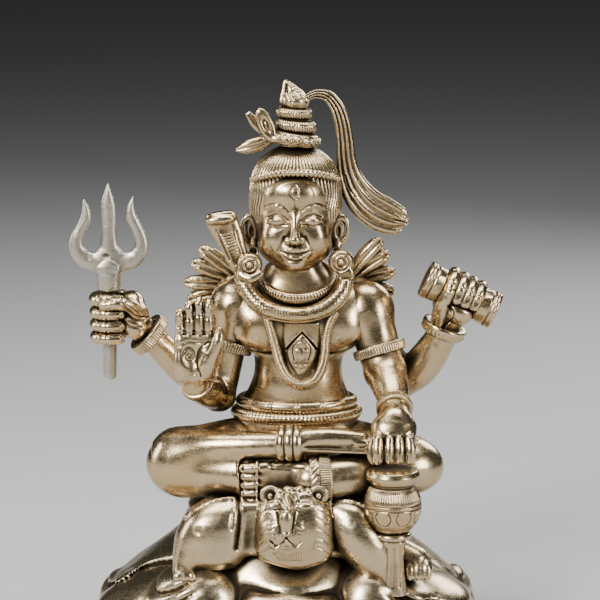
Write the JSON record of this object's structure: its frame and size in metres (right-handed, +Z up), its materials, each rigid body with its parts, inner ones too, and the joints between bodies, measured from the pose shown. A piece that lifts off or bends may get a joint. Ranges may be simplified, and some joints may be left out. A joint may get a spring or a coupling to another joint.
{
  "type": "seated deity statue",
  "caption": "Cast brass statue of a seated, cross-legged, four-armed deity on a tiger pelt over a rock base, with a lift-out trident.",
  "frame": {"origin": "centre of the foot of the base, on the surface that the statue stands on", "axes": "+Z up, -Y towards the front that the figure faces, +X towards the figure's own left"},
  "size_m": [0.2152, 0.1425, 0.2786],
  "materials": {
    "figure_brass": "polished cast brass, dark patina in the recesses",
    "base_brass": "polished cast brass, heavier dark patina",
    "trident_brass": "filed, matte pale brass",
    "fixing_steel": "plain steel"
  },
  "bodies": {
    "statue": {"base_nut": "fixing_steel", "base_washer": "fixing_steel", "figure_stud": "fixing_steel", "hair_cap": "figure_brass", "hair_ornament": "figure_brass", "hand_drum": "figure_brass", "head": "figure_brass", "left_anklet": "figure_brass", "left_armlet": "figure_brass", "left_front_arm": "figure_brass", "left_front_bangle": "figure_brass", "left_hair_locks": "figure_brass", "left_leg": "figure_brass", "left_rear_arm": "figure_brass", "left_rear_bangle": "figure_brass", "mala": "figure_brass", "neck_collar": "figure_brass", "pendant": "figure_brass", "pot_stand": "base_brass", "right_anklet": "figure_brass", "right_armlet": "figure_brass", "right_front_arm": "figure_brass", "right_front_bangle": "figure_brass", "right_hair_locks": "figure_brass", "right_leg": "figure_brass", "right_rear_arm": "figure_brass", "right_rear_bangle": "figure_brass", "rock_base": "base_brass", "snake": "figure_brass", "tiger_head": "base_brass", "tiger_skin": "base_brass", "topknot": "figure_brass", "topknot_bead_ring": "figure_brass", "torso": "figure_brass", "waist_belt": "figure_brass", "waist_cord": "figure_brass", "water_pot": "figure_brass", "water_stream": "figure_brass"},
    "trident": {"trident_shaft": "trident_brass", "trident_fork": "trident_brass"}
  },
  "joints": [
    {"name": "trident_lift", "type": "slide", "parent": "statue", "child": "trident", "axis": [0, 0, 1], "range_m": [0, 0.046]}
  ]
}
